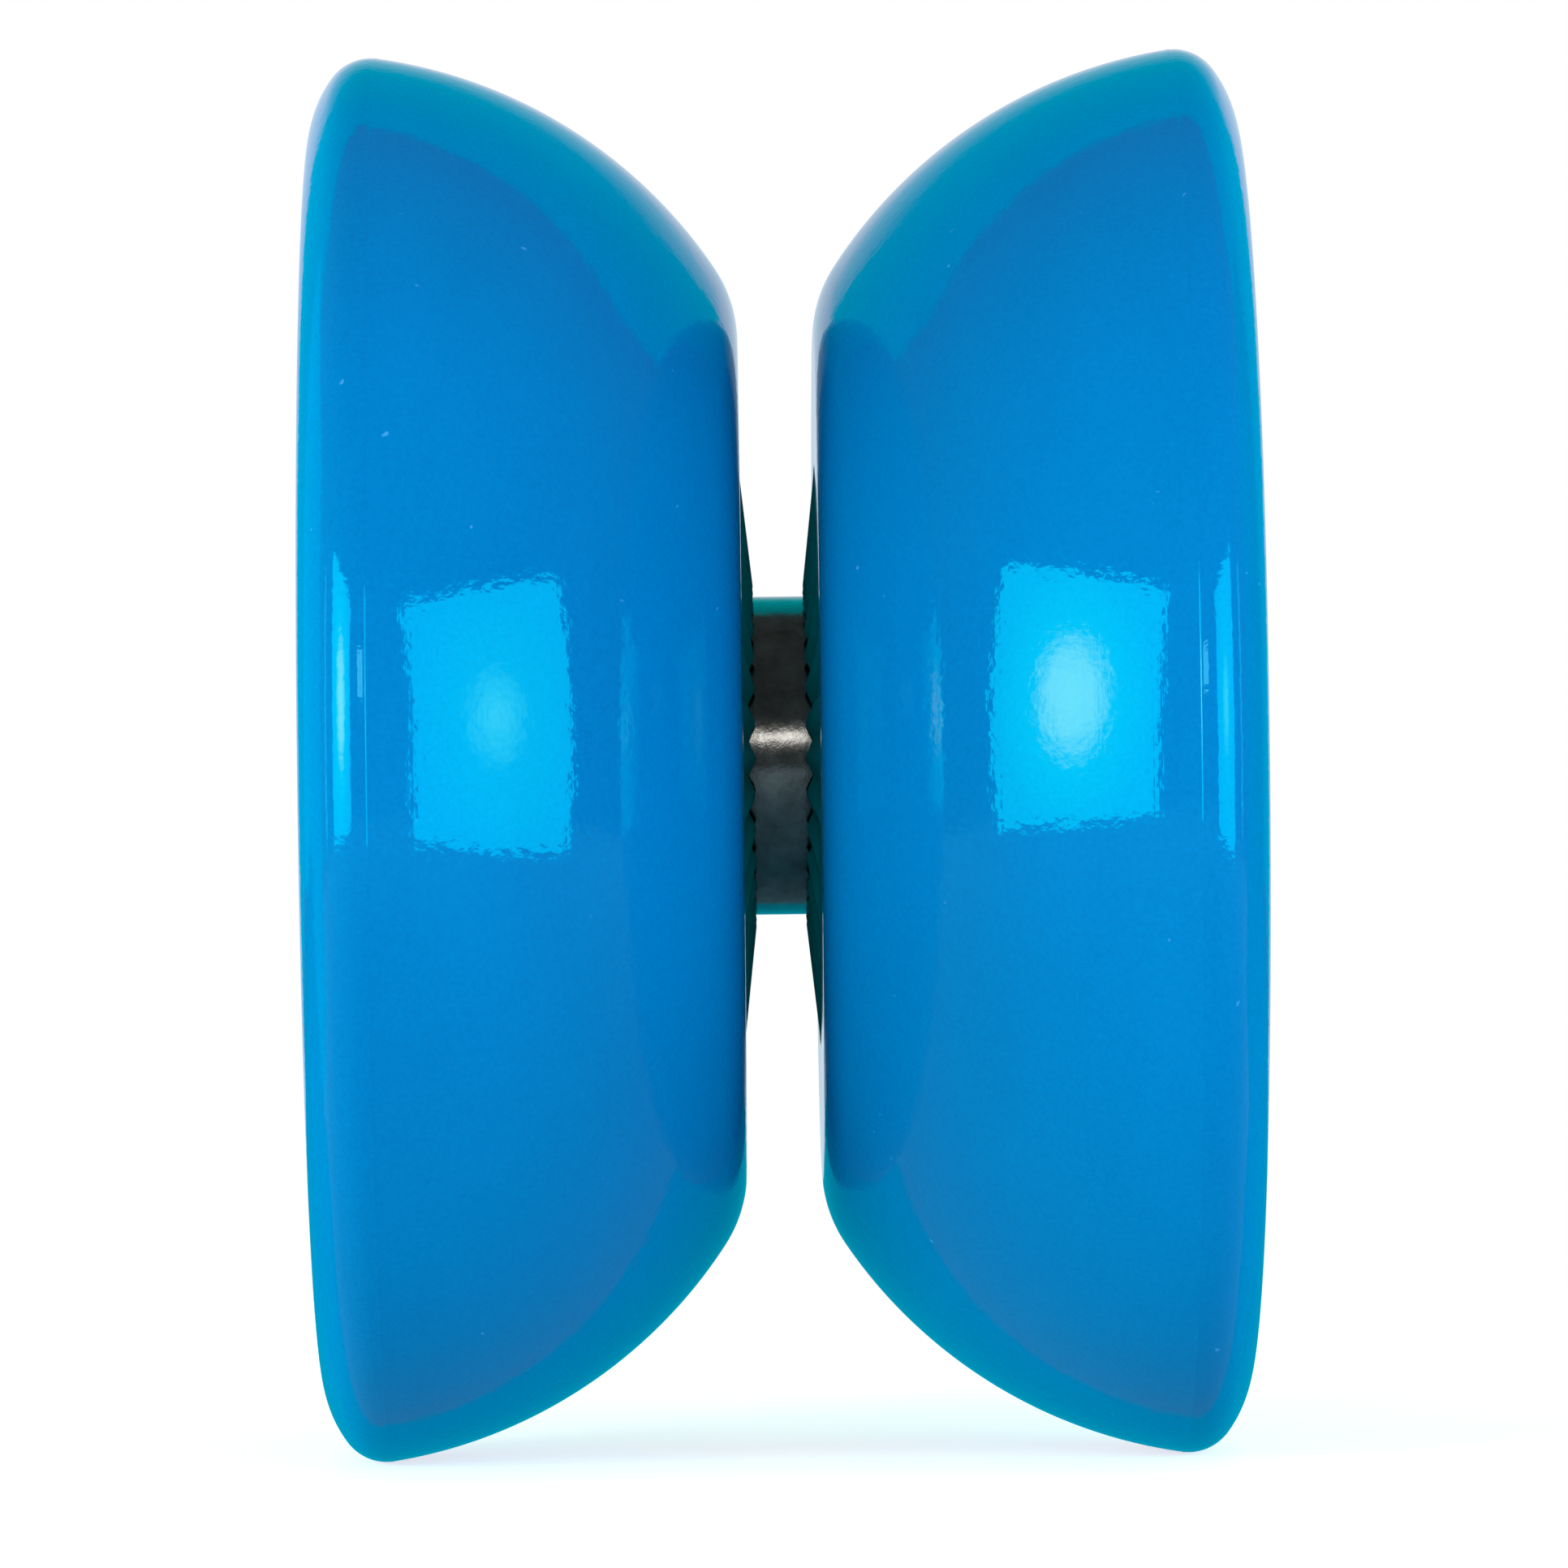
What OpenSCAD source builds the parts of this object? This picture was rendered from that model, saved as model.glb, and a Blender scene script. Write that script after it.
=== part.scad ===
// Butterfly yo-yo with a ball bearing: two flared halves on a screwed axle.
// Millimetres. The axle lies along X, +Z is up, and the origin is the centre
// of the bearing, midway between the halves. The left half is at -X.

/* [Body] */
// Largest diameter of the halves
body_d = 56; // [54:0.5:60]
// Clear width of the string gap between the flat walls
gap = 3; // [2.8:0.1:3.6]
// Radius of the blend from the flat gap wall into the flare
throat_blend_r = 5.3; // [4.5:0.1:6]
// Radius of the flared wall
flare_r = 19.4; // [18.5:0.1:20]
// Radius of the corner at the largest diameter
rim_corner_r = 1.9; // [1.5:0.1:2.4]
// Radius of the roll-off from that corner to the flat rim land
rim_roll_r = 4.8; // [4:0.1:5.5]
// Angle of the wall where the throat blend meets the flare
throat_turn = 33.5; // [31:0.5:36]
// Angle of the wall where the flare meets the rim corner
flare_turn = 81.5; // [79:0.5:84]
// Angle of the wall where the rim corner meets the roll-off
corner_turn = 143.5; // [140:0.5:150]
// Width of the flat land that the half lies on
rim_land_w = 2.1; // [1.5:0.1:2.5]

/* [Side cap] */
// Thickness of the cap at its edge
cap_t = 1.6; // [1.4:0.1:2]
// How far the edge of the cap lies below the rim land
cap_recess = 1.8; // [1.2:0.1:2.2]
// Rise of the cap's domed face from edge to centre
cap_dome = 0.8; // [0.2:0.1:1]

/* [Starburst] */
// Outer diameter of the starburst ring
burst_d = 23.2; // [22:0.2:24]
// Number of radial ridges
burst_ribs = 30; // [24:1:36]
// Height of a ridge above the gap wall at its inner end
burst_rise = 0.52; // [0.3:0.02:0.6]
// Angle of the first ridge below the -Y direction
burst_phase = 1.2; // [0:0.1:12]

/* [Axle] */
// Diameter of the axle screw over its thread
axle_d = 3.94; // [3.9:0.01:3.96]
// Length of the axle screw
axle_len = 22; // [21:0.5:23]
// Thickness of the nuts
nut_t = 3.2; // [3:0.1:3.2]

/* [Hidden] */
// Size C yo-yo bearing, 12.7 x 6.35 x 4.76 mm with 1/16 inch balls
bearing_d = 12.7;
bearing_bore = 6.35;
bearing_w = 4.7625;
ball_count = 8;
ball_d = 1.5875;

$fn = 96;
eps = 0.01;

plastic_blue = [0.0, 0.50, 0.86];
burst_teal = [0.02, 0.20, 0.22];
bearing_steel = [0.55, 0.53, 0.50];
ball_chrome = [0.80, 0.80, 0.82];
cage_bronze = [0.62, 0.48, 0.28];
spacer_metal = [0.75, 0.75, 0.77];
fastener_steel = [0.35, 0.35, 0.37];

// Gap wall and flank of a half
wall_x = gap / 2;
wall_r = body_d / 2 - throat_blend_r * sin(throat_turn) - flare_r * (sin(flare_turn) - sin(throat_turn))
         - rim_corner_r * (1 - sin(flare_turn));
throat_line = turn_points([wall_r, wall_x], throat_blend_r, 0, throat_turn, 6);
flare_line = turn_points(last(throat_line), flare_r, throat_turn, flare_turn, 16);
corner_line = turn_points(last(flare_line), rim_corner_r, flare_turn, corner_turn, 8);
roll_line = turn_points(last(corner_line), rim_roll_r, corner_turn, 180, 6);
flank = concat([[wall_r, wall_x]], throat_line, flare_line, corner_line, roll_line);
rim_x = last(flank)[1];
land_r = last(flank)[0] - rim_land_w;

// Side cap and the seat it snaps into
cap_edge_r = 0.5;
seat_r = land_r - cap_edge_r;
cap_fit = 0.1;
cap_top_x = rim_x - cap_recess;
ledge_x = cap_top_x - cap_t;
ledge_w = 2.5;
skirt_r = seat_r - ledge_w - cap_fit;
skirt_t = 1.2;
skirt_depth = 2.3;
skirt_slots = 6;
slot_w = 3;
snap_x = ledge_x - 1.3;
snap_w = 0.6;
snap_rise = 0.2;
notch_w = 3;
notch_depth = 0.8;

// Bearing
race_r = bearing_d / 2;
race_x = bearing_w / 2;
pitch_r = (bearing_d + bearing_bore) / 4;
groove_r = ball_d / 2 + 0.03;
outer_land_r = 5.25;
inner_land_r = 4.2;
race_chamfer = 0.2;
shield_x = 1.9;
shield_t = 0.2;
shield_seat_r = 5.75;
shield_hole_r = 4.4;
shield_fit = 0.03;
clip_x = shield_x + shield_t + 0.02;
clip_t = 0.16;
clip_hole_r = 5.3;
clip_groove_r = 5.92;
clip_gap = 30;
cage_hole_r = 4.35;
cage_r = 5.15;
cage_back_x = 1.3;
cage_front_x = -0.45;
pocket_r = ball_d / 2 + 0.045;

// Spacers, hub and cavity of a half
stub_r = bearing_bore / 2 - 0.025;
stub_end_x = 0.25;
flange_r = inner_land_r;
flange_x = 4.4;
spacer_hole_r = axle_d / 2 + 0.06;
nut_hole_r = axle_d / 2 + 0.03;
hub_hole_r = axle_d / 2 + 0.13;
flange_fit = 0.06;
hub_face_x = race_x + 0.25;
burst_hole_r = race_r + 0.3;
burst_back_x = wall_x + 1.4;
burst_fit = 0.05;
floor_x = 5;
hub_r = 5.8;
hub_top_x = 12;
nut_af = 7;
nut_x = axle_len / 2 - 2.8;
nut_fit = 0.03;
wall_t = 3;
cavity_r = skirt_r + cap_fit;
rib_t = 1.4;
rib_count = 6;
socket_af = 2;
socket_depth = 2.5;

// Centre of the flare's circle, which the cavity wall shares
flare_centre = [last(throat_line)[0] - flare_r * sin(throat_turn),
                last(throat_line)[1] + flare_r * cos(throat_turn)];
cavity_blend_r = flare_r - wall_t;
cavity_turn = asin((cavity_r - flare_centre[0]) / cavity_blend_r);
floor_turn = acos((flare_centre[1] - floor_x) / cavity_blend_r);
cavity_line = turn_points([flare_centre[0] + cavity_blend_r * sin(cavity_turn),
                           flare_centre[1] - cavity_blend_r * cos(cavity_turn)],
                          cavity_blend_r, cavity_turn, floor_turn, 4);

function last(list) = list[len(list) - 1];

// Points [radius, x] along a round stretch whose wall turns from angle a0 to a1
function turn_points(start, radius, a0, a1, steps) =
    [for (i = [1:steps]) let (a = a0 + (a1 - a0) * i / steps)
        [start[0] + radius * (sin(a) - sin(a0)), start[1] + radius * (cos(a0) - cos(a))]];

// Turns a closed outline of [radius, x] points about the axle
module turned(outline) {
    rotate([0, 90, 0]) rotate_extrude() polygon(outline);
}

// A ring from x0 to x1 between two radii
module ring(hole_r, outer_r, x0, x1) {
    turned([[hole_r, x0], [outer_r, x0], [outer_r, x1], [hole_r, x1]]);
}

// A hexagonal prism along the axle, given across its flats
module hexagon(across, x0, x1) {
    translate([x0, 0, 0]) rotate([0, 90, 0]) cylinder(d = across / cos(30), h = x1 - x0, $fn = 6);
}

module half(side) {
    if (side == "left") mirror([1, 0, 0]) children();
    else children();
}

module outer_race() {
    color(bearing_steel) difference() {
        turned([[outer_land_r, -shield_x], [shield_seat_r, -shield_x], [shield_seat_r, -race_x],
                [race_r - race_chamfer, -race_x], [race_r, race_chamfer - race_x],
                [race_r, race_x - race_chamfer], [race_r - race_chamfer, race_x],
                [shield_seat_r, race_x], [shield_seat_r, shield_x], [outer_land_r, shield_x]]);
        ball_track();
        for (side = ["left", "right"]) half(side)
            ring(shield_seat_r - 1, clip_groove_r, clip_x - 0.01, clip_x + clip_t + 0.01);
    }
}

module inner_race() {
    color(bearing_steel) difference() {
        ring(bearing_bore / 2, inner_land_r, -race_x, race_x);
        ball_track();
    }
}

// The round track that the balls run in
module ball_track() {
    rotate([0, 90, 0]) rotate_extrude() translate([pitch_r, 0]) circle(r = groove_r, $fn = 48);
}

module at_ball(index) {
    rotate([360 / ball_count * (index - 0.5), 0, 0]) translate([0, -pitch_r, 0]) children();
}

module ball(index) {
    color(ball_chrome) at_ball(index) sphere(d = ball_d, $fn = 32);
}

module ball_cage() {
    color(cage_bronze) difference() {
        ring(cage_hole_r, cage_r, cage_front_x, cage_back_x);
        for (i = [1:ball_count]) at_ball(i) sphere(r = pocket_r, $fn = 32);
    }
}

module shield(side) {
    color(bearing_steel) half(side)
        ring(shield_hole_r, shield_seat_r - shield_fit, shield_x, shield_x + shield_t);
}

module snap_ring(side) {
    color(fastener_steel) half(side) difference() {
        ring(clip_hole_r, clip_groove_r - shield_fit, clip_x, clip_x + clip_t);
        rotate([0, 90, 0]) rotate([0, 0, -clip_gap / 2])
            rotate_extrude(angle = clip_gap) translate([clip_hole_r - 1, 0]) square([2, race_x]);
    }
}

module shell(side) {
    color(plastic_blue) half(side) difference() {
        union() {
            turned(concat(
                [[hub_hole_r, flange_x], [flange_r + flange_fit, flange_x], [flange_r + flange_fit, hub_face_x],
                 [burst_hole_r - burst_fit, hub_face_x], [burst_hole_r - burst_fit, burst_back_x],
                 [burst_d / 2 + burst_fit, burst_back_x], [burst_d / 2 + burst_fit, wall_x]],
                flank,
                [[land_r, rim_x]],
                turn_points([land_r, rim_x], cap_edge_r, 180, 270, 3),
                [[seat_r, ledge_x], [cavity_r, ledge_x],
                 [cavity_r, snap_x + snap_w], [cavity_r + snap_rise + cap_fit, snap_x + snap_w / 2 + cap_fit],
                 [cavity_r + snap_rise + cap_fit, snap_x - snap_w / 2 - cap_fit], [cavity_r, snap_x - snap_w],
                 [cavity_r, flare_centre[1] - cavity_blend_r * cos(cavity_turn)]],
                cavity_line,
                [[hub_r, floor_x], [hub_r, hub_top_x], [hub_hole_r, hub_top_x]]
            ));
            for (i = [0:rib_count - 1]) rotate([360 / rib_count * i, 0, 0])
                translate([floor_x - 0.3, hub_r - 0.5, -rib_t / 2])
                    cube([hub_top_x - floor_x + 0.1, cavity_r - hub_r + 1, rib_t]);
        }
        hexagon(nut_af + 2 * nut_fit, nut_x, hub_top_x + 1);
    }
}

module starburst_ring(side) {
    color(burst_teal) half(side) difference() {
        union() {
            ring(burst_hole_r - 0.5, burst_d / 2, wall_x, burst_back_x);
            for (i = [0:burst_ribs - 1]) rotate([burst_phase + 360 / burst_ribs * i, 0, 0]) burst_ridge();
        }
        rotate([0, 90, 0]) cylinder(r = burst_hole_r, h = body_d);
    }
}

// One ridge: a three-sided bar along -Y that sinks into the wall as it runs outward
module burst_ridge() {
    run = burst_d / 2 - 0.2 - burst_hole_r;
    half_w = 1.2;
    fall = atan(burst_rise / run);
    translate([wall_x - burst_rise, -burst_hole_r, 0]) rotate([0, 0, fall]) rotate([90, 0, 0])
        translate([0, 0, -0.5]) linear_extrude(run + 0.5)
            polygon([[0, 0], [burst_rise, half_w], [burst_rise * 2, half_w],
                     [burst_rise * 2, -half_w], [burst_rise, -half_w]]);
}

module spacer(side) {
    color(spacer_metal) half(side)
        turned([[spacer_hole_r, stub_end_x], [stub_r - 0.3, stub_end_x], [stub_r, stub_end_x + 0.3],
                [stub_r, race_x], [flange_r, race_x], [flange_r, flange_x], [spacer_hole_r, flange_x]]);
}

module nut(side) {
    corner_r = nut_af / 2 / cos(30);
    chamfer = 0.35;
    color(fastener_steel) half(side) difference() {
        intersection() {
            hexagon(nut_af, nut_x, nut_x + nut_t);
            turned([[0, nut_x], [corner_r - chamfer, nut_x], [corner_r + eps, nut_x + chamfer],
                    [corner_r + eps, nut_x + nut_t - chamfer], [corner_r - chamfer, nut_x + nut_t],
                    [0, nut_x + nut_t]]);
        }
        translate([nut_x - 1, 0, 0]) rotate([0, 90, 0]) cylinder(r = nut_hole_r, h = nut_t + 2);
    }
}

module side_cap(side) {
    dome_r = (pow(seat_r - cap_fit - cap_edge_r, 2) + pow(cap_dome, 2)) / (2 * cap_dome);
    dome_turn = asin((seat_r - cap_fit - cap_edge_r) / dome_r);
    edge = [seat_r - cap_fit - cap_edge_r, cap_top_x];
    color(plastic_blue) half(side) difference() {
        turned(concat(
            [[0, ledge_x], [skirt_r - skirt_t, ledge_x], [skirt_r - skirt_t, ledge_x - skirt_depth],
             [skirt_r - 0.3, ledge_x - skirt_depth], [skirt_r, ledge_x - skirt_depth + 0.3],
             [skirt_r, snap_x - snap_w / 2], [skirt_r + snap_rise, snap_x - 0.1],
             [skirt_r + snap_rise, snap_x + 0.1], [skirt_r, snap_x + snap_w / 2], [skirt_r, ledge_x],
             [seat_r - cap_fit, ledge_x], [seat_r - cap_fit, cap_top_x - cap_edge_r], edge],
            turn_points(edge, dome_r, 180 - dome_turn, 180, 8)
        ));
        for (i = [0:skirt_slots - 1]) rotate([360 / skirt_slots * i, 0, 0])
            translate([ledge_x - skirt_depth - 1, skirt_r - skirt_t - 1, -slot_w / 2])
                cube([skirt_depth + 1, skirt_t + 2, slot_w]);
        translate([cap_top_x - notch_depth, -notch_w / 2, -seat_r]) cube([cap_t, notch_w, 1.2]);
    }
}

module axle() {
    tip_x = axle_len / 2;
    chamfer = 0.4;
    color(fastener_steel) difference() {
        turned([[0, -tip_x], [axle_d / 2 - chamfer, -tip_x], [axle_d / 2, chamfer - tip_x],
                [axle_d / 2, tip_x - chamfer], [axle_d / 2 - chamfer, tip_x], [0, tip_x]]);
        hexagon(socket_af, tip_x - socket_depth, tip_x + 1);
    }
}

outer_race();
inner_race();
ball_cage();
for (i = [1:ball_count]) ball(i);
for (side = ["left", "right"]) {
    shield(side);
    snap_ring(side);
    shell(side);
    starburst_ring(side);
    spacer(side);
    nut(side);
    side_cap(side);
}
axle();
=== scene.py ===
import math

import bmesh
import bpy
from mathutils import Matrix, Vector


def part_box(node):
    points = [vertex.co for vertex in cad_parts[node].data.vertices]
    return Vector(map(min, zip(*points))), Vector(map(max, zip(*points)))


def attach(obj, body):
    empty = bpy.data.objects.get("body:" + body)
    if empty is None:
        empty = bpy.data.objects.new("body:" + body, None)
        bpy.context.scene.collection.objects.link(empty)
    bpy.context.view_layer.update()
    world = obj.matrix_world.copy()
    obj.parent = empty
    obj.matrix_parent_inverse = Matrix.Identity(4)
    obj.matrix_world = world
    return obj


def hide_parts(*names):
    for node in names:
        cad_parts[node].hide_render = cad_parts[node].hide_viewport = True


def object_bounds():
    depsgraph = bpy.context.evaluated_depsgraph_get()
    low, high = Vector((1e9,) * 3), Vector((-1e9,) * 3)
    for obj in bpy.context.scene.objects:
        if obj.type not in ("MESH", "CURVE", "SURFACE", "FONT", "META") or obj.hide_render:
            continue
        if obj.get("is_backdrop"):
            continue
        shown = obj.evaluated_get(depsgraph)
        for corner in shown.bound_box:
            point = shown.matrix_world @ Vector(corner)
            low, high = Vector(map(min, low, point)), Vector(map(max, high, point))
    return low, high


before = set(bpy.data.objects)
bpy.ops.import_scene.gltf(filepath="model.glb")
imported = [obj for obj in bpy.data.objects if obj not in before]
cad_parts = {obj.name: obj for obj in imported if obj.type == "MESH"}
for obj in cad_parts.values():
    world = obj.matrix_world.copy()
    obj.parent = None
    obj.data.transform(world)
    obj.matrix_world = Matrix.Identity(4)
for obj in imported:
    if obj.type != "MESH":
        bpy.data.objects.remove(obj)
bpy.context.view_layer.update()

MM = 0.001
TURN = 2 * math.pi

# ---------------------------------------------------------------- sizes, in millimetres

BODY_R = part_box("right_shell")[1].z / MM
WALL_X = 1.5
THROAT_R, THROAT_TURN = 5.3, 33.5
FLARE_R, FLARE_TURN = 19.4, 81.5
CORNER_R, CORNER_TURN = 1.9, 143.5
ROLL_R = 4.8
LAND_W = 2.1
CAP_T, CAP_RECESS, CAP_DOME, CAP_EDGE = 1.6, 1.8, 0.8, 0.5
LEDGE_W, SKIRT_T, SKIRT_DEPTH, SNAP_RISE, CAP_FIT = 2.5, 1.2, 2.3, 0.2, 0.1
CAP_SLOTS, CAP_SLOT_W, PRY_NOTCH_DEPTH = 6, 3.0, 1.2
BURST_R, BURST_RISE, BURST_RIBS, BURST_PHASE = 11.6, 0.52, 30, 1.2
BURST_HOLE_R, BURST_BACK_X = 6.65, 2.9
RACE_R, RACE_X, RACE_LAND_R = 6.35, 2.38125, 5.25
PITCH_R, TRACK_R = 4.7625, 0.82375
SHIELD_X, SHIELD_SEAT_R, CLIP_X, CLIP_T, CLIP_R = 1.9, 5.75, 2.12, 0.16, 5.92
FLANGE_R, FLANGE_X, HUB_FACE_X, HUB_R, HUB_TOP_X = 4.26, 4.4, 2.63, 5.8, 12.0
HUB_HOLE_R, FLOOR_X, WALL_T = 2.1, 5.0, 3.0
RIB_T, RIB_COUNT = 1.4, 6
AXLE_R, AXLE_X, SOCKET_AF, SOCKET_DEPTH = 1.97, 11.0, 2.0, 2.5
NUT_X, NUT_T, NUT_AF, PITCH = 8.2, 3.2, 7.0, 0.7
THREAD_DEPTH, THREAD_FIT = 0.38, 0.05
RIDGE_SHAPE = ((0.004, 0.02), (0.014, 0.04), (0.0205, 0.06), (0.0205, 0.08), (0.0145, 0.10), (0.0158, 0.14))


# ---------------------------------------------------------------- outlines

def turn_points(start, radius, a0, a1, steps):
    """Points (radius, x) along a round stretch whose wall turns from angle a0 to a1."""
    points = []
    for i in range(1, steps + 1):
        a = math.radians(a0 + (a1 - a0) * i / steps)
        b = math.radians(a0)
        points.append((start[0] + radius * (math.sin(a) - math.sin(b)),
                       start[1] + radius * (math.cos(b) - math.cos(a))))
    return points


def rounded(points, fillet, steps=4):
    """The open outline with each inner corner cut back and rounded by about fillet."""
    out = [points[0]]
    for before, here, after in zip(points, points[1:], points[2:]):
        p, q, r = Vector(before), Vector(here), Vector(after)
        cut = min(fillet, (p - q).length * 0.45, (r - q).length * 0.45)
        start, end = q + (p - q).normalized() * cut, q + (r - q).normalized() * cut
        for i in range(steps + 1):
            t = i / steps
            out.append(tuple(start * (1 - t) ** 2 + q * 2 * t * (1 - t) + end * t ** 2))
    return out + [points[-1]]


def sine(angle):
    return math.sin(math.radians(angle))


WALL_R = BODY_R - THROAT_R * sine(THROAT_TURN) - FLARE_R * (sine(FLARE_TURN) - sine(THROAT_TURN)) \
    - CORNER_R * (1 - sine(FLARE_TURN))
THROAT_LINE = turn_points((WALL_R, WALL_X), THROAT_R, 0, THROAT_TURN, 14)
FLARE_LINE = turn_points(THROAT_LINE[-1], FLARE_R, THROAT_TURN, FLARE_TURN, 60)
PARTING_RIDGE = [(FLARE_LINE[-1][0] + rise, FLARE_LINE[-1][1] + x) for rise, x in RIDGE_SHAPE]
CORNER_LINE = PARTING_RIDGE + turn_points(FLARE_LINE[-1], CORNER_R, FLARE_TURN, CORNER_TURN, 30)[3:]
ROLL_LINE = turn_points(CORNER_LINE[-1], ROLL_R, CORNER_TURN, 180, 16)
FLANK = [(WALL_R, WALL_X)] + THROAT_LINE + FLARE_LINE + CORNER_LINE + ROLL_LINE
RIM_X = FLANK[-1][1]
LAND_R = FLANK[-1][0] - LAND_W
SEAT_R = LAND_R - CAP_EDGE
CAP_TOP_X = RIM_X - CAP_RECESS
LEDGE_X = CAP_TOP_X - CAP_T
SKIRT_R = SEAT_R - LEDGE_W - CAP_FIT
CAVITY_R = SKIRT_R + CAP_FIT
SNAP_X = LEDGE_X - 1.3
FLARE_CENTRE = (THROAT_LINE[-1][0] - FLARE_R * sine(THROAT_TURN),
                THROAT_LINE[-1][1] + FLARE_R * math.cos(math.radians(THROAT_TURN)))


def shell_outline():
    """Closed outline of a half: hub, gap wall, flank, rim, cap seat and cavity."""
    blend = FLARE_R - WALL_T
    top = math.degrees(math.asin((CAVITY_R - FLARE_CENTRE[0]) / blend))
    low = math.degrees(math.acos((FLARE_CENTRE[1] - FLOOR_X) / blend))
    start = (CAVITY_R, FLARE_CENTRE[1] - blend * math.cos(math.radians(top)))
    hub = rounded([(HUB_HOLE_R, FLANGE_X), (FLANGE_R, FLANGE_X), (FLANGE_R, HUB_FACE_X),
                   (BURST_HOLE_R - 0.05, HUB_FACE_X), (BURST_HOLE_R - 0.05, BURST_BACK_X),
                   (BURST_R + 0.05, BURST_BACK_X), (BURST_R + 0.05, WALL_X), (WALL_R, WALL_X)], 0.06)
    seat = rounded([(SEAT_R, LEDGE_X + 0.8), (SEAT_R, LEDGE_X), (CAVITY_R, LEDGE_X),
                    (CAVITY_R, SNAP_X + 0.6), (CAVITY_R + SNAP_RISE + 0.1, SNAP_X + 0.4),
                    (CAVITY_R + SNAP_RISE + 0.1, SNAP_X - 0.4),
                    (CAVITY_R, SNAP_X - 0.6), (CAVITY_R, SNAP_X - 1.6)], 0.08)
    boss = rounded([(HUB_R + 3, FLOOR_X), (HUB_R, FLOOR_X), (HUB_R, HUB_TOP_X), (HUB_HOLE_R, HUB_TOP_X),
                    (HUB_HOLE_R, HUB_TOP_X - 2)], 0.4)
    return (hub + FLANK[1:] + [(LAND_R, RIM_X)] + turn_points((LAND_R, RIM_X), CAP_EDGE, 180, 270, 8)
            + seat + [start] + turn_points(start, blend, top, low, 24) + boss)


def cap_outline():
    """Closed outline of a side cap: domed face, edge, snap skirt."""
    face_r = SEAT_R - 0.1 - CAP_EDGE
    dome = (face_r ** 2 + CAP_DOME ** 2) / (2 * CAP_DOME)
    turn = math.degrees(math.asin(face_r / dome))
    skirt = rounded([(0, LEDGE_X), (SKIRT_R - SKIRT_T, LEDGE_X), (SKIRT_R - SKIRT_T, LEDGE_X - SKIRT_DEPTH),
                     (SKIRT_R - 0.3, LEDGE_X - SKIRT_DEPTH), (SKIRT_R, LEDGE_X - SKIRT_DEPTH + 0.3),
                     (SKIRT_R, SNAP_X - 0.3), (SKIRT_R + SNAP_RISE, SNAP_X - 0.1),
                     (SKIRT_R + SNAP_RISE, SNAP_X + 0.1), (SKIRT_R, SNAP_X + 0.3), (SKIRT_R, LEDGE_X),
                     (SEAT_R - 0.1, LEDGE_X), (SEAT_R - 0.1, CAP_TOP_X - CAP_EDGE)], 0.08)
    edge = turn_points((SEAT_R - 0.1, CAP_TOP_X - CAP_EDGE), CAP_EDGE, 90, 180, 8)
    return skirt + edge + turn_points(edge[-1], dome, 180 - turn, 180, 40)


def race_outline():
    """Closed outline of the outer race, with the seats for the shields and the snap rings."""
    side = [(RACE_LAND_R, SHIELD_X), (SHIELD_SEAT_R, SHIELD_X), (SHIELD_SEAT_R, CLIP_X - 0.01),
            (CLIP_R, CLIP_X - 0.01), (CLIP_R, CLIP_X + CLIP_T + 0.01),
            (SHIELD_SEAT_R, CLIP_X + CLIP_T + 0.01), (SHIELD_SEAT_R, RACE_X), (RACE_R, RACE_X), (RACE_R, 0)]
    half = rounded(side, 0.12, 5)
    depth = RACE_LAND_R - PITCH_R
    reach = math.asin(depth / TRACK_R)
    track = []
    for i in range(25):
        a = reach + (math.pi - 2 * reach) * i / 24
        track.append((PITCH_R + TRACK_R * math.sin(a), TRACK_R * -math.cos(a)))
    other = [(r, -x) for r, x in reversed(half[:-1])]
    return half + other + track


# ---------------------------------------------------------------- mesh building

def finish_mesh(name, bm, material, sharp=32):
    """Turns a bmesh in millimetres into a smooth-shaded object in metres."""
    bmesh.ops.remove_doubles(bm, verts=bm.verts, dist=1e-5)
    bmesh.ops.recalc_face_normals(bm, faces=bm.faces)
    bmesh.ops.scale(bm, vec=(MM, MM, MM), verts=bm.verts)
    mesh = bpy.data.meshes.new(name)
    bm.to_mesh(mesh)
    bm.free()
    obj = bpy.data.objects.new(name, mesh)
    bpy.context.scene.collection.objects.link(obj)
    mesh.materials.append(material)
    smooth(obj, sharp)
    return obj


def smooth(obj, sharp=32):
    obj.data.shade_smooth()
    obj.data.set_sharp_from_angle(angle=math.radians(sharp))


def revolved(outline, side=1, segments=360):
    """A closed outline of (radius, x) turned about the axle; side -1 mirrors it to the left."""
    bm = bmesh.new()
    rings = []
    for r, x in outline:
        if r < 1e-6:
            rings.append([bm.verts.new((side * x, 0, 0))] * segments)
        else:
            angles = [TURN * k / segments for k in range(segments)]
            rings.append([bm.verts.new((side * x, -r * math.cos(a), r * math.sin(a))) for a in angles])
    for ring, after in zip(rings, rings[1:] + rings[:1]):
        if ring[0] is ring[1] and after[0] is after[1]:
            continue
        for k in range(segments):
            j = (k + 1) % segments
            corners = list(dict.fromkeys([ring[k], ring[j], after[j], after[k]]))
            bm.faces.new(corners)
    return bm


def block(low, high, turn=0):
    """A box between two corners, turned about the axle."""
    bm = bmesh.new()
    bmesh.ops.create_cube(bm, size=1)
    for v in bm.verts:
        v.co = Vector((low[i] + (high[i] - low[i]) * (v.co[i] + 0.5) for i in range(3)))
    bmesh.ops.rotate(bm, verts=bm.verts, cent=(0, 0, 0), matrix=Matrix.Rotation(turn, 3, "X"))
    return bm


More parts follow.
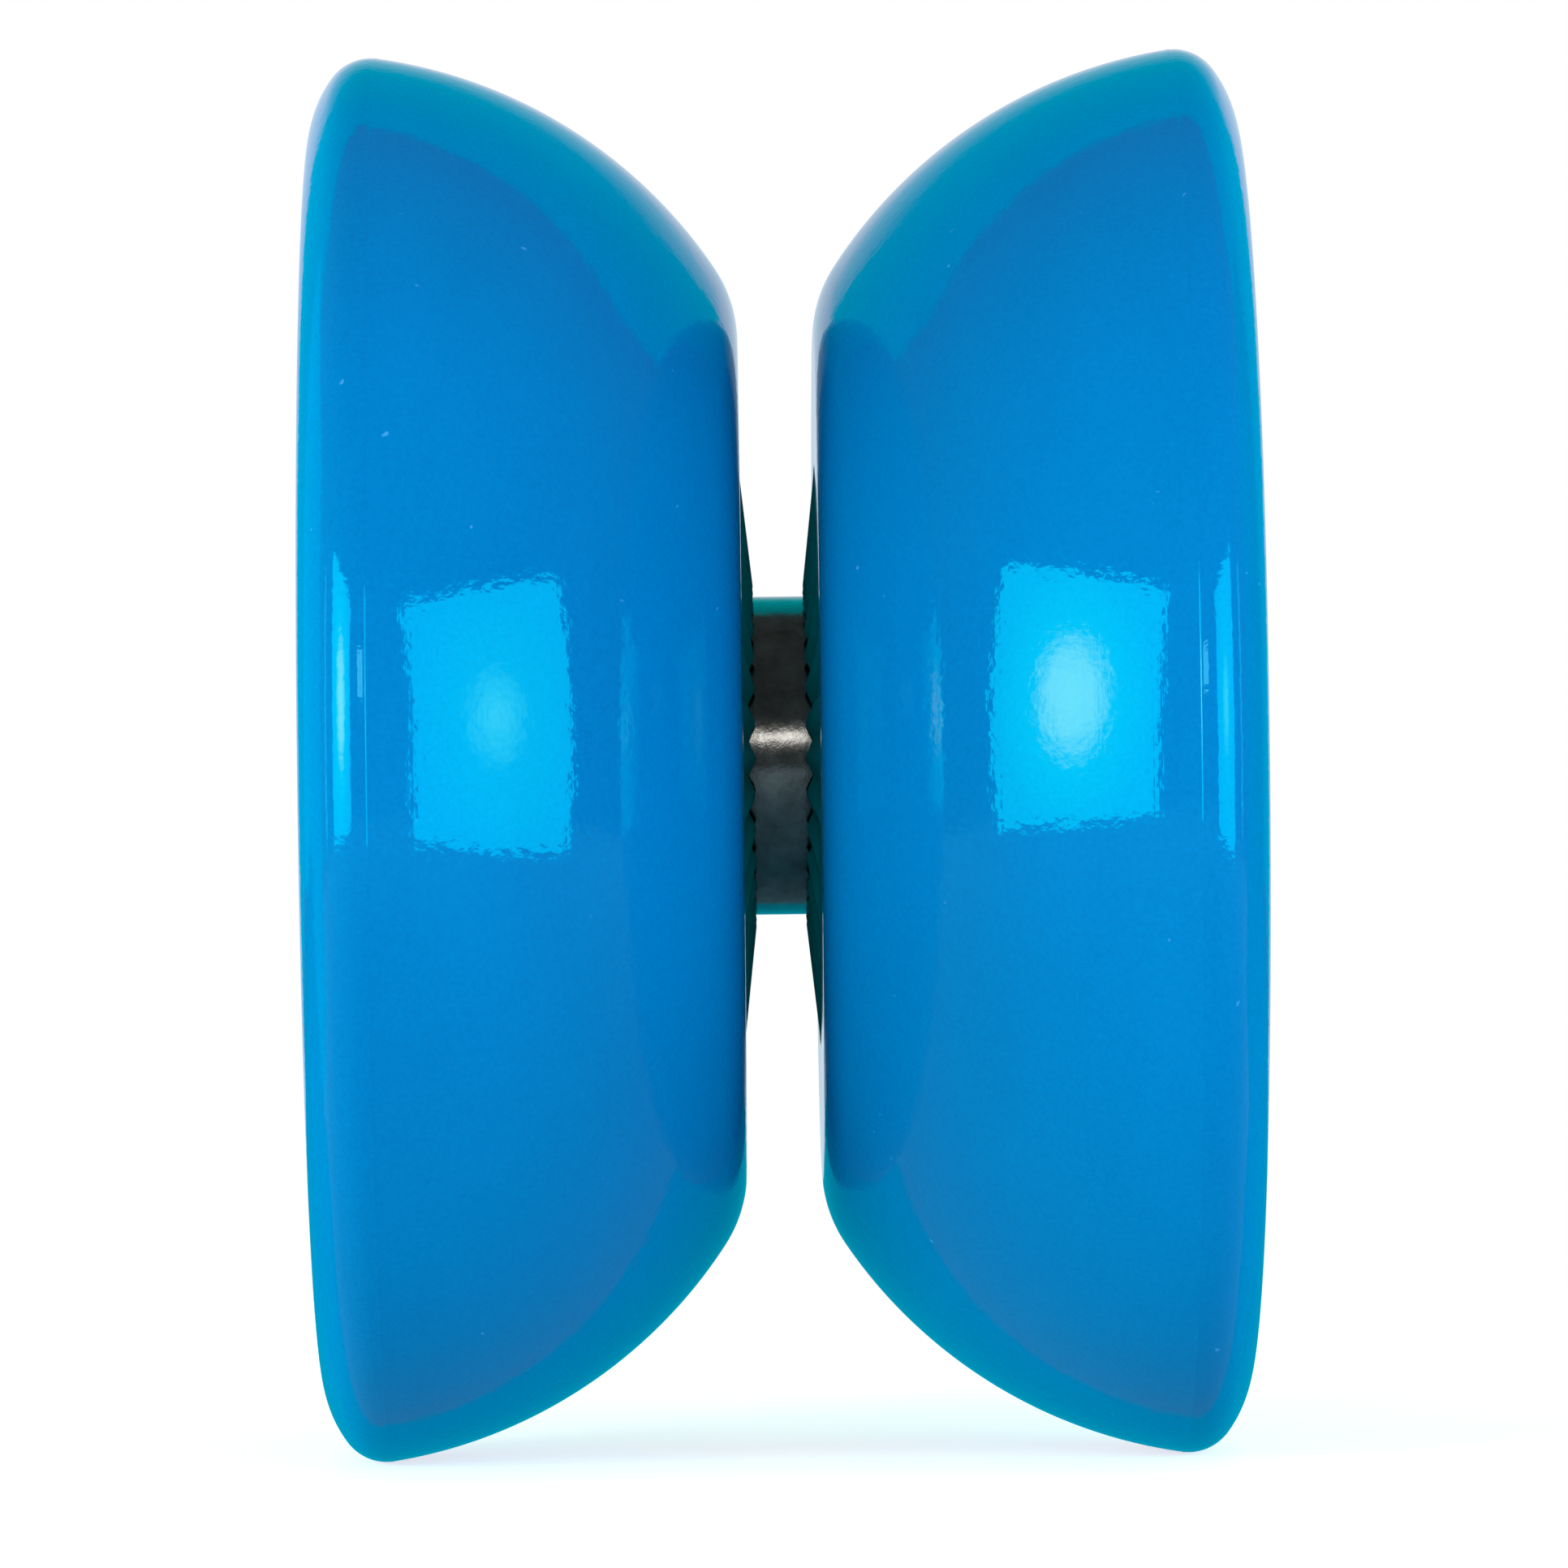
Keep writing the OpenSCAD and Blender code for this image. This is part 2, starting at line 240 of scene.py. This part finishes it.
def prism(across, x0, x1, sides=6):
    """A straight prism along the axle with a flat on top, given across its flats."""
    bm = bmesh.new()
    r = across / 2 / math.cos(math.pi / sides)
    angles = [TURN * (k + 0.5) / sides for k in range(sides)]
    ends = [[bm.verts.new((x, r * math.cos(a), r * math.sin(a))) for a in angles] for x in (x0, x1)]
    for k in range(sides):
        j = (k + 1) % sides
        bm.faces.new([ends[0][k], ends[0][j], ends[1][j], ends[1][k]])
    bm.faces.new(ends[0])
    bm.faces.new(ends[1])
    return bm


def combine(obj, tools, operation):
    """Joins tools to obj or cuts them from it, then applies that and removes the tools."""
    for bm in tools:
        tool = finish_mesh("tool", bm, obj.data.materials[0])
        cut = obj.modifiers.new("cut", "BOOLEAN")
        cut.operation, cut.object, cut.solver = operation, tool, "EXACT"
        bpy.context.view_layer.update()
        made = bpy.data.meshes.new_from_object(obj.evaluated_get(bpy.context.evaluated_depsgraph_get()))
        obj.modifiers.clear()
        obj.data = made
        bpy.data.objects.remove(tool)
    smooth(obj)


def thread_radius(x, angle, crest, depth):
    """Radius of a right-hand V thread with flattened crest and root."""
    phase = (x / PITCH - angle / TURN) % 1.0
    return crest - depth * min(max(abs(2 * phase - 1) * 1.35 - 0.12, 0), 1)


def threaded_wall(bm, x0, x1, radius_at, segments=48):
    """Rings of vertices along the axle whose radius follows radius_at(x, angle)."""
    rows = max(2, round((x1 - x0) / PITCH * 12)) + 1
    rings = []
    for i in range(rows):
        x = x0 + (x1 - x0) * i / (rows - 1)
        ring = []
        for k in range(segments):
            angle = TURN * k / segments
            r = radius_at(x, angle)
            ring.append(bm.verts.new((x, r * math.cos(angle), r * math.sin(angle))))
        rings.append(ring)
    skin(bm, rings)
    return rings


def skin(bm, rings, closed=False):
    count = len(rings[0])
    for ring, after in zip(rings, rings[1:] + ([rings[0]] if closed else [])):
        for k in range(count):
            j = (k + 1) % count
            bm.faces.new([ring[k], ring[j], after[j], after[k]])


# ---------------------------------------------------------------- materials

def new_material(name):
    material = bpy.data.materials.new(name)
    material.use_nodes = True
    nodes, links = material.node_tree.nodes, material.node_tree.links
    return material, nodes, links, nodes["Principled BSDF"]


def add_node(nodes, kind, **settings):
    made = nodes.new(kind)
    for key, value in settings.items():
        if key.startswith("in_"):
            made.inputs[key[3:].replace("_", " ")].default_value = value
        else:
            setattr(made, key, value)
    return made


def ramp(nodes, links, source, stops):
    """A colour ramp on source; stops are (position, colour)."""
    made = nodes.new("ShaderNodeValToRGB")
    while len(made.color_ramp.elements) < len(stops):
        made.color_ramp.elements.new(0.5)
    for element, (at, colour) in zip(made.color_ramp.elements, stops):
        element.position = at
        element.color = (*colour, 1)
    links.new(source, made.inputs["Fac"])
    return made.outputs["Color"]


def noise(nodes, links, scale, detail=2.0, roughness=0.5, stretch=None):
    """Noise in object coordinates; scale is in features per metre, stretch scales each axis."""
    coords = nodes.new("ShaderNodeTexCoord").outputs["Object"]
    if stretch:
        mapping = nodes.new("ShaderNodeMapping")
        mapping.inputs["Scale"].default_value = stretch
        links.new(coords, mapping.inputs["Vector"])
        coords = mapping.outputs["Vector"]
    made = nodes.new("ShaderNodeTexNoise")
    made.inputs["Scale"].default_value = scale
    made.inputs["Detail"].default_value = detail
    made.inputs["Roughness"].default_value = roughness
    links.new(coords, made.inputs["Vector"])
    return made.outputs["Fac"]


def bump(nodes, links, heights):
    """Chains bumps; heights are (source, distance in metres, strength)."""
    normal = None
    for source, distance, strength in heights:
        made = nodes.new("ShaderNodeBump")
        made.inputs["Distance"].default_value = distance
        made.inputs["Strength"].default_value = strength
        links.new(source, made.inputs["Height"])
        if normal:
            links.new(normal, made.inputs["Normal"])
        normal = made.outputs["Normal"]
    return normal


def moulded_plastic(name, deep, light, tint, rough):
    """Glossy moulded plastic: colour flow, fine grain, orange peel, turned mould lines and a few specks."""
    material, nodes, links, shader = new_material(name)
    flow = noise(nodes, links, 45, 3, 0.6, (2.5, 1, 1))
    grain = noise(nodes, links, 5200, 2, 0.7)
    tone = add_node(nodes, "ShaderNodeMix", data_type="FLOAT", in_Factor=0.6)
    links.new(flow, tone.inputs["A"])
    links.new(grain, tone.inputs["B"])
    colour = ramp(nodes, links, tone.outputs["Result"], [(0.36, deep), (0.64, light)])
    specks = noise(nodes, links, 1900, 1, 0.5)
    speck_mask = ramp(nodes, links, specks, [(0.80, (0, 0, 0)), (0.83, (1, 1, 1))])
    mix = add_node(nodes, "ShaderNodeMix", data_type="RGBA")
    links.new(speck_mask, mix.inputs["Factor"])
    links.new(colour, mix.inputs["A"])
    mix.inputs["B"].default_value = (light[0] + 0.05, light[1] * 1.5, light[2] * 1.3, 1)
    links.new(mix.outputs["Result"], shader.inputs["Base Color"])
    wear = noise(nodes, links, 160, 4, 0.65)
    roughness = ramp(nodes, links, wear, [(0.35, (rough,) * 3), (0.75, (rough * 1.9,) * 3)])
    links.new(roughness, shader.inputs["Roughness"])
    swell = noise(nodes, links, 130, 1, 0.4)
    peel = noise(nodes, links, 900, 2, 0.5)
    ripple = noise(nodes, links, 2400, 2, 0.5)
    mould_lines = noise(nodes, links, 3600, 3, 0.6, (1, 0.004, 0.004))
    links.new(bump(nodes, links, [(swell, 0.00003, 1.0), (peel, 0.000005, 1.0), (ripple, 0.000008, 1.0),
                                  (mould_lines, 0.0000025, 1.0), (specks, 0.000004, 0.12)]),
              shader.inputs["Normal"])
    shader.inputs["Specular Tint"].default_value = (*tint, 1)
    shader.inputs["IOR"].default_value = 1.5
    return material


def satin_plastic(name, deep, light, rough, grain, shine=0.5):
    """Fine spark-eroded texture, as on the inside of a mould."""
    material, nodes, links, shader = new_material(name)
    tone = noise(nodes, links, 300, 4, 0.6)
    links.new(ramp(nodes, links, tone, [(0.3, deep), (0.7, light)]), shader.inputs["Base Color"])
    links.new(ramp(nodes, links, tone, [(0.3, (rough,) * 3), (0.7, (rough * 1.25,) * 3)]),
              shader.inputs["Roughness"])
    fine = noise(nodes, links, 5200, 3, 0.6)
    links.new(bump(nodes, links, [(fine, 0.000008, grain)]), shader.inputs["Normal"])
    shader.inputs["Specular Tint"].default_value = (0.15, 0.9, 1.0, 1)
    shader.inputs["Specular IOR Level"].default_value = shine
    return material


def metal(name, dark, light, rough, grain=0.3, lines=0.0, scale=2600):
    """Metal with a mottled tone, grain, and turned lines around the axle where lines is above 0."""
    material, nodes, links, shader = new_material(name)
    tone = noise(nodes, links, scale * 0.35, 5, 0.7)
    links.new(ramp(nodes, links, tone, [(0.3, dark), (0.7, light)]), shader.inputs["Base Color"])
    links.new(ramp(nodes, links, tone, [(0.3, (rough,) * 3), (0.7, (min(1, rough * 1.4),) * 3)]),
              shader.inputs["Roughness"])
    heights = [(noise(nodes, links, scale, 4, 0.7), 0.00001, grain)]
    if lines:
        heights.append((noise(nodes, links, 5000, 2, 0.6, (1, 0.01, 0.01)), 0.000004, lines))
    links.new(bump(nodes, links, heights), shader.inputs["Normal"])
    shader.inputs["Metallic"].default_value = 1.0
    return material


BLUE = moulded_plastic("blue_plastic", (0.0, 0.098, 0.266), (0.0, 0.116, 0.308), (0.15, 1.0, 1.0), 0.035)
BLUE_CAP = satin_plastic("blue_cap_plastic", (0.0, 0.094, 0.27), (0.0, 0.108, 0.30), 0.30, 0.35)
TEAL = satin_plastic("starburst_plastic", (0.0, 0.210, 0.235), (0.0, 0.280, 0.310), 0.55, 0.5, 0.08)
RACE_STEEL = metal("blasted_steel", (0.13, 0.12, 0.115), (0.29, 0.27, 0.26), 0.13, 0.8)
TRACK_STEEL = metal("ground_steel", (0.42, 0.42, 0.43), (0.55, 0.55, 0.56), 0.2, 0.1, 0.3)
BALL_STEEL = metal("ball_steel", (0.62, 0.62, 0.64), (0.72, 0.72, 0.74), 0.06, 0.03)
CAGE_BRONZE = metal("cage_bronze", (0.40, 0.24, 0.09), (0.55, 0.34, 0.14), 0.3, 0.3)
SHIELD_STEEL = metal("shield_steel", (0.38, 0.38, 0.39), (0.50, 0.50, 0.51), 0.22, 0.1, 0.4)
CLIP_STEEL = metal("clip_steel", (0.20, 0.20, 0.21), (0.32, 0.32, 0.33), 0.3, 0.2)
SPACER_ALLOY = metal("turned_aluminium", (0.62, 0.62, 0.64), (0.74, 0.74, 0.76), 0.24, 0.1, 0.6)
NUT_STEEL = metal("zinc_plate", (0.40, 0.41, 0.43), (0.56, 0.57, 0.60), 0.3, 0.3)
AXLE_STEEL = metal("black_oxide", (0.02, 0.02, 0.022), (0.05, 0.05, 0.053), 0.38, 0.4)


# ---------------------------------------------------------------- pieces

def place(piece, body, slot, *nodes):
    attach(piece, body)
    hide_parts(*nodes)


def make_shell(side, sign):
    shell = finish_mesh(f"{side}_body", revolved(shell_outline(), sign), BLUE)
    low, high = sorted((sign * (FLOOR_X - 0.3), sign * (HUB_TOP_X - 0.2)))
    ribs = [block((low, HUB_R - 0.5, -RIB_T / 2), (high, CAVITY_R + 0.5, RIB_T / 2), TURN * i / RIB_COUNT)
            for i in range(RIB_COUNT)]
    combine(shell, ribs, "UNION")
    combine(shell, [prism(NUT_AF + 0.06, *sorted((sign * NUT_X, sign * (HUB_TOP_X + 1))))], "DIFFERENCE")
    place(shell, f"{side}_half", "shell", f"{side}_shell")


def make_cap(side, sign):
    cap = finish_mesh(f"{side}_cap", revolved(cap_outline(), sign), BLUE_CAP)
    low, high = sorted((sign * (LEDGE_X - SKIRT_DEPTH - 1), sign * LEDGE_X))
    half = CAP_SLOT_W / 2
    slots = [block((low, SKIRT_R - SKIRT_T - 1, -half), (high, SKIRT_R + 1, half), TURN * i / CAP_SLOTS)
             for i in range(CAP_SLOTS)]
    low, high = sorted((sign * (CAP_TOP_X - 0.8), sign * (CAP_TOP_X + 1)))
    pry_notch = block((low, -half, -SEAT_R - 0.2), (high, half, -SEAT_R + PRY_NOTCH_DEPTH))
    combine(cap, slots + [pry_notch], "DIFFERENCE")
    place(cap, f"{side}_half", "side_cap", f"{side}_side_cap")


def ridge_height(r, angle):
    """Height of the starburst above the gap wall: soft V ridges that fade out along the radius."""
    run = BURST_R - 0.2 - BURST_HOLE_R
    pitch = TURN / BURST_RIBS
    off = (angle - math.radians(BURST_PHASE) + pitch / 2) % pitch - pitch / 2
    crest = BURST_RISE * (1 - (r - BURST_HOLE_R) / run)
    away = math.hypot(r * off, 0.09) - 0.09
    h = crest - away * BURST_RISE / 1.2
    soft = 0.025
    return 0.5 * (h + math.hypot(h, soft))


def make_starburst(side, sign):
    """Closed ring: ridged front, straight bore, rim and back."""
    bm = bmesh.new()
    steps, rows = BURST_RIBS * 24, 30
    rings = []
    for i in range(rows + 1):
        r = BURST_HOLE_R + (BURST_R - 0.08 - BURST_HOLE_R) * i / rows
        ring = []
        for k in range(steps):
            a = TURN * k / steps
            x = WALL_X - ridge_height(r, a) + (0.04 if i == 0 else 0)
            ring.append(bm.verts.new((sign * x, -r * math.cos(a), -r * math.sin(a))))
        rings.append(ring)
    for r, x in ((BURST_R, WALL_X + 0.08), (BURST_R, BURST_BACK_X), (BURST_HOLE_R, BURST_BACK_X)):
        angles = [TURN * k / steps for k in range(steps)]
        rings.append([bm.verts.new((sign * x, -r * math.cos(a), -r * math.sin(a))) for a in angles])
    skin(bm, rings, closed=True)
    ring = finish_mesh(f"{side}_starburst", bm, TEAL, 40)
    place(ring, f"{side}_half", "starburst", f"{side}_starburst_ring")


def make_axle():
    """M4 set screw: right-hand thread, chamfered tips, hex socket in the right end."""
    chamfer = 0.4

    def radius(x, angle):
        tip = AXLE_R - max(0, chamfer - (AXLE_X - abs(x)))
        return min(thread_radius(x, angle, AXLE_R, THREAD_DEPTH), tip)

    bm = bmesh.new()
    rings = threaded_wall(bm, -AXLE_X, AXLE_X, radius)
    bm.faces.new(rings[0])
    bm.faces.new(rings[-1])
    axle = finish_mesh("axle_screw", bm, AXLE_STEEL, 40)
    combine(axle, [prism(SOCKET_AF, AXLE_X - SOCKET_DEPTH, AXLE_X + 1)], "DIFFERENCE")
    place(axle, "left_half", "axle", "axle")


def make_nut(side, sign):
    """M4 hex nut with chamfered corners and a thread that matches the axle's."""
    corner = NUT_AF / 2 / math.cos(math.pi / 6)
    chamfer = 0.35
    bm = bmesh.new()
    steps = 96
    x0, x1 = sorted((sign * NUT_X, sign * (NUT_X + NUT_T)))

    def hex_r(angle):
        return NUT_AF / 2 / math.cos((angle % (TURN / 6)) - TURN / 12)

    def outer(x):
        limit = corner - chamfer * max(0, 1 - min(x - x0, x1 - x) / chamfer)
        ring = []
        for k in range(steps):
            angle = TURN * k / steps
            r = min(hex_r(angle), limit)
            ring.append(bm.verts.new((x, r * math.cos(angle), r * math.sin(angle))))
        return ring

    def bore(x, angle):
        flare = max(0, 0.3 - min(x - x0, x1 - x))
        root = AXLE_R - THREAD_DEPTH + THREAD_FIT
        return max(thread_radius(x, angle, AXLE_R, THREAD_DEPTH) + THREAD_FIT, root + flare * 1.5)

    sheet = [outer(x0 + (x1 - x0) * f) for f in (0, 0.03, 0.06, 0.11, 0.5, 0.89, 0.94, 0.97, 1)]
    inner = threaded_wall(bm, x0, x1, bore, steps)
    skin(bm, sheet)
    skin(bm, [sheet[0], inner[0]])
    skin(bm, [sheet[-1], inner[-1]])
    nut = finish_mesh(f"{side}_hex_nut", bm, NUT_STEEL, 30)
    place(nut, f"{side}_half", "nut", f"{side}_nut")


def make_race():
    race = finish_mesh("race_ring", revolved(race_outline()), RACE_STEEL, 40)
    place(race, "bearing_outer", "race", "outer_race")


def finish_cad_nodes():
    """Gives the CAD nodes that stay their own materials."""
    finishes = {"inner_race": TRACK_STEEL, "ball_cage": CAGE_BRONZE}
    for i in range(1, 9):
        finishes[f"ball_{i}"] = BALL_STEEL
    for side in ("left", "right"):
        finishes[f"{side}_shield"] = SHIELD_STEEL
        finishes[f"{side}_snap_ring"] = CLIP_STEEL
        finishes[f"{side}_spacer"] = SPACER_ALLOY
    for name, material in finishes.items():
        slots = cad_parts[name].material_slots
        for slot in slots:
            slot.material = material


for side, sign in (("left", -1), ("right", 1)):
    make_shell(side, sign)
    make_cap(side, sign)
    make_starburst(side, sign)
    make_nut(side, sign)
make_axle()
make_race()
finish_cad_nodes()


# ---------------------------------------------------------------- studio

BRIGHTEST = 25.0
SOFTBOX_DISTANCE, SOFTBOX_REACH, FILL_DISTANCE = 0.72, 0.26, 0.6
TABLE_DEPTH, TABLE_REACH = 0.2, 1.2
FLOOR_R, FLOOR_SIDES = 0.16, 96


def emissive(name, strength, colour=(1, 1, 1)):
    """An evenly lit lamp face."""
    material = bpy.data.materials.new(name)
    material.use_nodes = True
    nodes, links = material.node_tree.nodes, material.node_tree.links
    nodes.clear()
    glow = add_node(nodes, "ShaderNodeEmission", in_Color=(*colour, 1), in_Strength=strength)
    out = nodes.new("ShaderNodeOutputMaterial")
    links.new(glow.outputs[0], out.inputs["Surface"])
    return material


def graded(name, stops, reach, squash=(1, 1, 1)):
    """A lamp face that changes softly outwards from its origin. Stops are (distance as a part of reach,
    radiance), and squash drops an axis out of the distance."""
    material = emissive(name, BRIGHTEST)
    nodes, links = material.node_tree.nodes, material.node_tree.links
    coords = nodes.new("ShaderNodeTexCoord")
    mapping = add_node(nodes, "ShaderNodeMapping", in_Scale=tuple(axis / reach for axis in squash))
    rings = add_node(nodes, "ShaderNodeTexGradient", gradient_type="SPHERICAL")
    links.new(coords.outputs["Object"], mapping.inputs["Vector"])
    links.new(mapping.outputs["Vector"], rings.inputs["Vector"])
    levels = [(1 - at, tuple(c / BRIGHTEST for c in radiance)) for at, radiance in reversed(stops)]
    links.new(ramp(nodes, links, rings.outputs["Fac"], levels), nodes["Emission"].inputs["Color"])
    return material


def unseen(name, points, faces, material):
    """A stage mesh that lights and shows in reflections, unseen by the camera and casting no shadow."""
    mesh = bpy.data.meshes.new(name)
    mesh.from_pydata(points, [], faces)
    mesh.materials.append(material)
    obj = bpy.data.objects.new(name, mesh)
    bpy.context.scene.collection.objects.link(obj)
    obj.visible_camera = False
    obj.visible_shadow = False
    obj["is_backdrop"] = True
    return obj


def panel(name, azimuth, elevation, distance, width, tall, material, tilt=0):
    """A flat panel around the object. Azimuth 0 is in front, at -Y, and positive is towards +X."""
    w, h = width / 2, tall / 2
    obj = unseen(name, [(-w, 0, -h), (w, 0, -h), (w, 0, h), (-w, 0, h)], [(0, 1, 2, 3)], material)
    a, e = math.radians(azimuth), math.radians(elevation)
    place_at = Vector((math.sin(a) * math.cos(e), -math.cos(a) * math.cos(e), math.sin(e))) * distance
    obj.matrix_world = (Matrix.Translation(place_at) @ Matrix.Rotation(a, 4, "Z")
                        @ Matrix.Rotation(math.radians(-tilt), 4, "X"))
    return obj


def make_floor():
    """Pale sheet under the object, seen by the camera alone and fading out towards its round edge."""
    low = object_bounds()[0]
    mesh = bpy.data.meshes.new("floor")
    angles = [TURN * k / FLOOR_SIDES for k in range(FLOOR_SIDES)]
    ring = [(FLOOR_R * math.cos(a), FLOOR_R * math.sin(a), low[2]) for a in angles]
    mesh.from_pydata(ring, [], [tuple(range(FLOOR_SIDES))])
    material, nodes, links, shader = new_material("white_sheet")
    shader.inputs["Roughness"].default_value = 0.9
    tone = noise(nodes, links, 60, 3, 0.5)
    links.new(ramp(nodes, links, tone, [(0.3, (0.86, 0.86, 0.87)), (0.7, (0.90, 0.90, 0.90))]),
              shader.inputs["Base Color"])
    shader.inputs["Emission Color"].default_value = (1, 0.85, 0.75, 1)
    shader.inputs["Emission Strength"].default_value = 0.7
    coords = nodes.new("ShaderNodeTexCoord")
    flat = add_node(nodes, "ShaderNodeMapping", vector_type="POINT")
    flat.inputs["Scale"].default_value = (1 / FLOOR_R, 1 / FLOOR_R, 0)
    distance = add_node(nodes, "ShaderNodeVectorMath", operation="LENGTH")
    links.new(coords.outputs["Object"], flat.inputs["Vector"])
    links.new(flat.outputs["Vector"], distance.inputs[0])
    links.new(ramp(nodes, links, distance.outputs["Value"], [(0.62, (1, 1, 1)), (0.98, (0, 0, 0))]),
              shader.inputs["Alpha"])
    mesh.materials.append(material)
    obj = bpy.data.objects.new("floor", mesh)
    bpy.context.scene.collection.objects.link(obj)
    obj.visible_glossy = False
    obj.visible_diffuse = False
    obj.visible_shadow = False
    obj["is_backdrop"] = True


def make_world():
    """White to the camera, a dim grey room in reflections, and a pale grey room as light."""
    world = bpy.data.worlds.new("studio")
    bpy.context.scene.world = world
    world.use_nodes = True
    nodes, links = world.node_tree.nodes, world.node_tree.links
    nodes.clear()
    seen = add_node(nodes, "ShaderNodeBackground", in_Color=(1, 1, 1, 1), in_Strength=1.0)
    mirrored = add_node(nodes, "ShaderNodeBackground", in_Color=(0.07, 0.09, 0.09, 1), in_Strength=1.0)
    room = add_node(nodes, "ShaderNodeBackground", in_Color=(0.9, 0.95, 1, 1), in_Strength=0.35)
    path = nodes.new("ShaderNodeLightPath")
    in_reflection = nodes.new("ShaderNodeMixShader")
    to_camera = nodes.new("ShaderNodeMixShader")
    out = nodes.new("ShaderNodeOutputWorld")
    links.new(path.outputs["Is Glossy Ray"], in_reflection.inputs[0])
    links.new(room.outputs[0], in_reflection.inputs[1])
    links.new(mirrored.outputs[0], in_reflection.inputs[2])
    links.new(path.outputs["Is Camera Ray"], to_camera.inputs[0])
    links.new(in_reflection.outputs[0], to_camera.inputs[1])
    links.new(seen.outputs[0], to_camera.inputs[2])
    links.new(to_camera.outputs[0], out.inputs["Surface"])


def make_softboxes():
    """Two large softboxes with a brighter middle, and a small one in front."""
    left_glow = ((0.0, (22.0, 13.0, 8.0)), (0.25, (20.0, 12.0, 8.0)), (0.5, (0.1, 8.0, 7.5)),
                 (1.0, (0.1, 6.0, 7.0)))
    right_glow = ((0.0, (6.0, 10.0, 8.0)), (0.15, (3.0, 9.0, 7.5)), (0.4, (0.1, 6.5, 7.0)),
                  (1.0, (0.1, 5.5, 7.0)))
    for name, azimuth, elevation, width, tall, glow in (("left_softbox", -43, 8, 0.54, 0.48, left_glow),
                                                        ("right_softbox", 44, 6, 0.52, 0.50, right_glow)):
        face = graded(f"{name}_face", glow, SOFTBOX_REACH)
        panel(name, azimuth, elevation, SOFTBOX_DISTANCE, width, tall, face, tilt=elevation)
    front = emissive("front_softbox_face", 1.0, (5.0, 5.2, 5.0))
    panel("front_softbox", 0, 13, 0.4, 0.08, 0.05, front, tilt=13)


def make_surroundings():
    """Backdrop with a paler sheet before it, the part of it below the object, and the lit table."""
    panel("backdrop", 180, 34, 0.6, 1.5, 0.75, emissive("backdrop_face", 1.0, (0.0, 0.60, 0.66)))
    sheet = ((0.0, (0.62, 0.76, 0.88)), (0.45, (0.60, 0.75, 0.88)), (0.6, (0.3, 0.68, 0.78)),
             (1.0, (0.0, 0.60, 0.66)))
    panel("white_sheet_behind", 180, 0, 0.48, 0.4, 0.5, graded("sheet_face", sheet, 0.25, (0, 0, 1)))
    low_face = emissive("low_backdrop_face", 1.0, (0.0, 0.36, 0.50))
    panel("low_backdrop", 180, -59, 0.39, 0.7, 0.62, low_face)
    table = ((0.0, (0.03, 0.12, 0.17)), (0.25, (0.12, 0.22, 0.28)), (0.6, (0.3, 0.45, 0.5)))
    table_face = graded("table_face", table, TABLE_REACH)
    table_glow = panel("table_glow", 0, -90, TABLE_DEPTH, 2 * TABLE_REACH, 2 * TABLE_REACH, table_face,
                       tilt=-90)
    table_glow.visible_diffuse = False


def make_fills():
    """Side strips and two side fills that show in reflections, then soft fills that only light."""
    strip = emissive("side_strip_face", 3.0, (0.1, 1.0, 1.0))
    for name, azimuth in (("left_side_strip", -84), ("right_side_strip", 84)):
        panel(name, azimuth, 5, SOFTBOX_DISTANCE, 0.05, 0.32, strip)
    for name, azimuth, colour in (("left_fill", -118, (0.0, 0.95, 1.3)),
                                  ("right_fill", 118, (0.0, 0.4, 0.3))):
        panel(name, azimuth, -3, 0.62, 0.40, 0.62, emissive(f"{name}_face", 1.0, colour))
    fills = (("top_fill", 0, 60, 0.6, 0.4, (1.0, 1.1, 1.3)),
             ("front_fill", 0, 8, 0.5, 0.4, (3.0, 3.2, 3.2)),
             ("left_outer_fill", -95, -12, 0.2, 0.5, (3.0, 14.0, 11.5)),
             ("right_outer_fill", 95, -5, 0.2, 0.5, (3.0, 9.5, 8.5)),
             ("left_low_fill", -75, -40, 0.4, 0.4, (0.6, 3.2, 3.0)),
             ("right_low_fill", 75, -40, 0.4, 0.4, (0.6, 2.6, 2.4)),
             ("low_fill", 0, -45, 0.4, 0.4, (0.9, 0.9, 0.9)))
    for name, azimuth, elevation, width, tall, colour in fills:
        face = emissive(f"{name}_face", 1.0, colour)
        fill = panel(name, azimuth, elevation, FILL_DISTANCE, width, tall, face, tilt=elevation)
        fill.visible_glossy = False


def make_camera():
    """Long lens in front of the object, a little low and to the left, and turned by a small roll."""
    data = bpy.data.cameras.new("camera")
    data.lens, data.sensor_width = 271.6, 36
    data.clip_start, data.clip_end = 0.01, 20
    camera = bpy.data.objects.new("camera", data)
    bpy.context.scene.collection.objects.link(camera)
    position = Vector((-2.82, -472.7, -1.14)) * MM
    aim = Vector((0.16, 0, -1.14)) * MM
    turn = (aim - position).to_track_quat("-Z", "Y").to_matrix().to_4x4()
    roll = Matrix.Rotation(math.radians(-0.678), 4, "Z")
    camera.matrix_world = Matrix.Translation(position) @ turn @ roll
    bpy.context.scene.camera = camera


make_world()
make_softboxes()
make_surroundings()
make_fills()
make_floor()
make_camera()
bpy.context.scene.view_settings.view_transform = "Standard"
bpy.context.scene.view_settings.look = "None"
